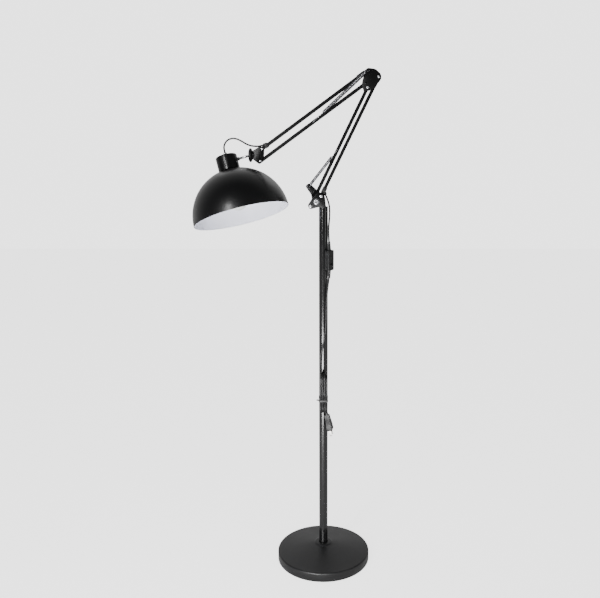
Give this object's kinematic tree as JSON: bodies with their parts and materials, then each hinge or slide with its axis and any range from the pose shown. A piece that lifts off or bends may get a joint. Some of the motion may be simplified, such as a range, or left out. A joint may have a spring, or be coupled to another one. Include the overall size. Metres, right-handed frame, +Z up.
{
  "type": "adjustable arm floor lamp",
  "caption": "Floor lamp with a round weighted base, slim pole, switch on the lead, sprung parallel-bar arm and a dome shade on a ball joint.",
  "frame": {"origin": "centre of the base's underside, on the floor", "axes": "+Z up along the pole; the arm lies in the X-Z plane, elbow towards +X and shade towards -X; +Y is the back"},
  "size_m": [0.4656, 0.2729, 1.2984],
  "materials": {
    "felt": "black felt",
    "iron": "raw casting, painted",
    "base_black": "fine satin powder coat",
    "gloss_black": "smooth gloss paint",
    "satin_black": "satin powder coat",
    "shade_black": "satin black paint outside, white enamel inside",
    "plastic_black": "moulded, fine grain",
    "cord_black": "smooth sheath",
    "steel": "zinc plated",
    "spring_steel": "black phosphated wire",
    "chrome": "bright plated",
    "porcelain": "moulded insulator",
    "inner_white": "moulded ring",
    "frosted": "frosted"
  },
  "bodies": {
    "stand": {"base_pad": "felt", "base_weight": "iron", "base_cover": "base_black", "base_bolt": "steel", "pole": "gloss_black", "swivel_bush": "plastic_black", "cord_pole_upper": "cord_black", "cord_pole_lower": "cord_black", "cord_hank": "cord_black", "hank_tie": "plastic_black", "switch_case_front": "plastic_black", "switch_case_back": "plastic_black", "plug_body": "plastic_black", "plug_blade_left": "chrome", "plug_blade_right": "chrome"},
    "rocker": {"switch_rocker": "plastic_black"},
    "knuckle": {"swivel_block": "satin_black", "knuckle_plate_front": "satin_black", "knuckle_plate_back": "satin_black", "clamp_bolt_front": "steel", "clamp_bolt_back": "steel", "knuckle_pin_right": "steel", "knuckle_pin_left": "steel"},
    "lower_right": {"lower_bar_right": "satin_black", "lower_ferrule": "plastic_black", "cord_lower_bar": "cord_black"},
    "lower_left": {"lower_bar_left": "satin_black"},
    "lower_springs": {"lower_spring_front": "spring_steel", "lower_spring_back": "spring_steel"},
    "lower_link": {"lower_spring_link": "steel"},
    "elbow": {"elbow_plate_front": "satin_black", "elbow_plate_back": "satin_black", "elbow_pin_1": "steel", "elbow_pin_2": "steel", "elbow_pin_3": "satin_black", "elbow_pin_4": "satin_black"},
    "upper_top": {"upper_bar_top": "satin_black", "upper_ferrule_elbow": "plastic_black", "upper_ferrule_head": "plastic_black", "cord_upper_bar": "cord_black"},
    "upper_bottom": {"upper_bar_bottom": "satin_black"},
    "upper_springs": {"upper_spring_front": "spring_steel", "upper_spring_back": "spring_steel"},
    "upper_link": {"upper_spring_link": "steel"},
    "bracket": {"head_bracket": "satin_black", "head_pin_top": "steel", "head_pin_bottom": "steel", "cord_head": "cord_black"},
    "knob": {"clamp_ring": "plastic_black"},
    "ball": {"head_ball": "chrome"},
    "stem": {"head_stem": "chrome"},
    "lamp_head": {"socket_cap": "gloss_black", "cord_gland": "chrome", "lampholder": "porcelain", "shade_ring": "inner_white", "shade": "shade_black", "bulb_cap": "steel", "bulb_globe": "frosted"}
  },
  "joints": [
    {"name": "arm_swivel", "type": "hinge", "parent": "stand", "child": "knuckle", "pos_m": [0, 0, 0.94], "axis": [0, 0, 1], "range_deg": [-170, 170]},
    {"name": "lower_tilt", "type": "hinge", "parent": "knuckle", "child": "lower_right", "pos_m": [-0.0055, 0, 0.9903], "axis": [0, 1, 0], "range_deg": [-60, 4], "deforming": ["cord_pole_upper"]},
    {"name": "lower_left_tilt", "type": "hinge", "parent": "knuckle", "child": "lower_left", "pos_m": [-0.03227, 0, 0.96534], "axis": [0, 1, 0], "range_deg": [-61, 5]},
    {"name": "elbow_level", "type": "hinge", "parent": "lower_right", "child": "elbow", "pos_m": [0.13478, 0, 1.27791], "axis": [0, 1, 0], "range_deg": [-5, 61]},
    {"name": "lower_spring_swing", "type": "hinge", "parent": "knuckle", "child": "lower_springs", "pos_m": [-0.03681, 0, 1.01361], "axis": [0, 1, 0], "range_deg": [-84.7, 6.6]},
    {"name": "lower_link_swing", "type": "hinge", "parent": "lower_left", "child": "lower_link", "pos_m": [0.03612, 0, 1.10555], "axis": [0, 1, 0], "range_deg": [-24.7, 2.6]},
    {"name": "upper_tilt", "type": "hinge", "parent": "elbow", "child": "upper_top", "pos_m": [0.10748, 0, 1.29311], "axis": [0, 1, 0], "range_deg": [-10, 50]},
    {"name": "upper_bottom_tilt", "type": "hinge", "parent": "elbow", "child": "upper_bottom", "pos_m": [0.10323, 0, 1.26291], "axis": [0, 1, 0], "range_deg": [-11, 51]},
    {"name": "bracket_level", "type": "hinge", "parent": "upper_top", "child": "bracket", "pos_m": [-0.15239, 0, 1.10638], "axis": [0, 1, 0], "range_deg": [-51, 11]},
    {"name": "upper_spring_swing", "type": "hinge", "parent": "elbow", "child": "upper_springs", "pos_m": [0.10748, 0, 1.29311], "axis": [0, 1, 0], "range_deg": [-10.1, 46.5]},
    {"name": "upper_link_swing", "type": "hinge", "parent": "upper_bottom", "child": "upper_link", "pos_m": [-0.0267, 0, 1.16954], "axis": [0, 1, 0], "range_deg": [-5.5, 1.9]},
    {"name": "knob_turn", "type": "hinge", "parent": "bracket", "child": "knob", "pos_m": [-0.18009, 0, 1.09108], "axis": [1, 0, 0], "range_deg": [0, 180]},
    {"name": "head_pan", "type": "hinge", "parent": "bracket", "child": "ball", "pos_m": [-0.18009, 0, 1.09108], "axis": [0, 0, 1], "range_deg": [-18, 18]},
    {"name": "head_tilt", "type": "hinge", "parent": "ball", "child": "stem", "pos_m": [-0.18009, 0, 1.09108], "axis": [0, 1, 0], "range_deg": [-8, 40], "deforming": ["cord_head"]},
    {"name": "head_roll", "type": "hinge", "parent": "stem", "child": "lamp_head", "pos_m": [-0.18009, 0, 1.09108], "axis": [0.965, 0, 0.2622], "range_deg": [-80, 80]},
    {"name": "rocker_rock", "type": "hinge", "parent": "stand", "child": "rocker", "pos_m": [0.01664, -0.01454, 0.8295], "axis": [0.6428, 0.766, 0], "range_deg": [0, 14]}
  ],
  "couplings": [
    {"joint": "lower_left_tilt", "follows": "lower_tilt", "ratio": 1},
    {"joint": "elbow_level", "follows": "lower_tilt", "ratio": -1},
    {"joint": "lower_spring_swing", "follows": "lower_tilt", "ratio": 1.395},
    {"joint": "lower_link_swing", "follows": "lower_tilt", "ratio": 0.395},
    {"joint": "upper_bottom_tilt", "follows": "upper_tilt", "ratio": 1},
    {"joint": "bracket_level", "follows": "upper_tilt", "ratio": -1},
    {"joint": "upper_spring_swing", "follows": "upper_tilt", "ratio": 0.91},
    {"joint": "upper_link_swing", "follows": "upper_tilt", "ratio": -0.09}
  ]
}
